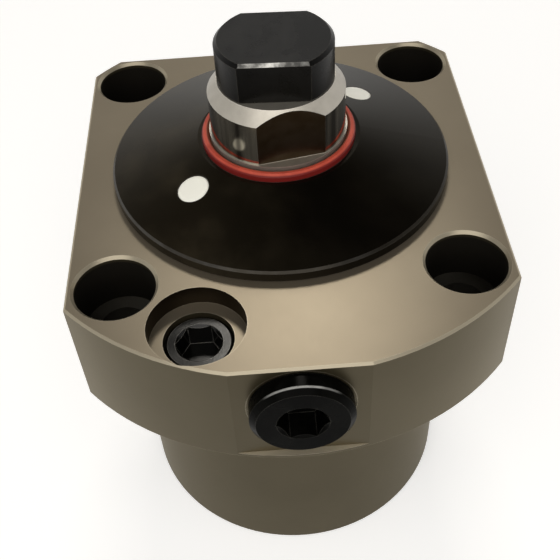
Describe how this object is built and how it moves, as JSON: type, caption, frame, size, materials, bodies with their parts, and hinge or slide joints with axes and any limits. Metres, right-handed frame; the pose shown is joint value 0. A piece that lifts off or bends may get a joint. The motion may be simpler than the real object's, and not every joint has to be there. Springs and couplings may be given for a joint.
{
  "type": "hydraulic support cylinder",
  "caption": "Flange-mounted round hydraulic support cylinder with a round plunger with two wrench flats, a flat-sided contact bolt, domed cap and plugged oil ports.",
  "frame": {"origin": "on the barrel's axis in the plane of the flange's seat", "axes": "+Z along the plunger towards the contact bolt, -Y towards the front oil port, +X to the right of it"},
  "size_m": [0.06, 0.0721, 0.0885],
  "materials": {
    "housing": "satin",
    "cap": "satin",
    "cap_hole_plugs": "matte",
    "wiper": "matte",
    "plunger": "polished",
    "contact_bolt": "satin",
    "port_plug": "satin",
    "inner_steel": "ground",
    "spring_steel": "drawn",
    "bronze": "turned",
    "seal_rubber": "matte"
  },
  "bodies": {
    "body": {"housing": "housing", "cap": "cap", "cap_hole_plugs": "cap_hole_plugs", "cap_oring": "seal_rubber", "wiper_ring": "wiper", "rod_seal": "seal_rubber", "return_spring": "spring_steel", "collet": "inner_steel", "collet_oring": "seal_rubber", "release_spring": "spring_steel", "end_cover": "inner_steel", "end_cover_oring": "seal_rubber", "retaining_ring": "spring_steel", "front_port_plug": "port_plug", "front_port_seal": "seal_rubber", "top_port_plug": "port_plug", "top_port_oring": "seal_rubber", "gallery_plugs": "inner_steel", "gasket_rings": "seal_rubber"},
    "lift": {"lift_piston": "inner_steel", "lift_piston_seal": "seal_rubber", "lift_spring": "spring_steel"},
    "plunger": {"plunger": "plunger", "contact_bolt": "contact_bolt", "contact_oring": "seal_rubber"},
    "sleeve": {"lock_sleeve": "inner_steel", "lock_outer_seal": "seal_rubber", "lock_inner_seal": "seal_rubber"},
    "cage": {"ball_cage": "bronze", "lock_balls": "inner_steel"}
  },
  "joints": [
    {"name": "lift_slide", "type": "slide", "parent": "body", "child": "lift", "axis": [0, 0, 1], "range_m": [0, 0.01], "stiffness_N_per_m": 500, "springref_m": -0.006, "deforming": ["return_spring"]},
    {"name": "plunger_slide", "type": "slide", "parent": "lift", "child": "plunger", "axis": [0, 0, 1], "range_m": [-0.0028, 0], "stiffness_N_per_m": 900, "springref_m": 0.006, "deforming": ["lift_spring"]},
    {"name": "lock_slide", "type": "slide", "parent": "body", "child": "sleeve", "axis": [0, 0, -1], "range_m": [0, 0.0015], "stiffness_N_per_m": 3000, "springref_m": -0.002, "deforming": ["release_spring"]},
    {"name": "cage_slide", "type": "slide", "parent": "body", "child": "cage", "axis": [0, 0, -1], "range_m": [0, 0.00075]}
  ],
  "couplings": [
    {"joint": "cage_slide", "follows": "lock_slide", "ratio": 0.5}
  ]
}
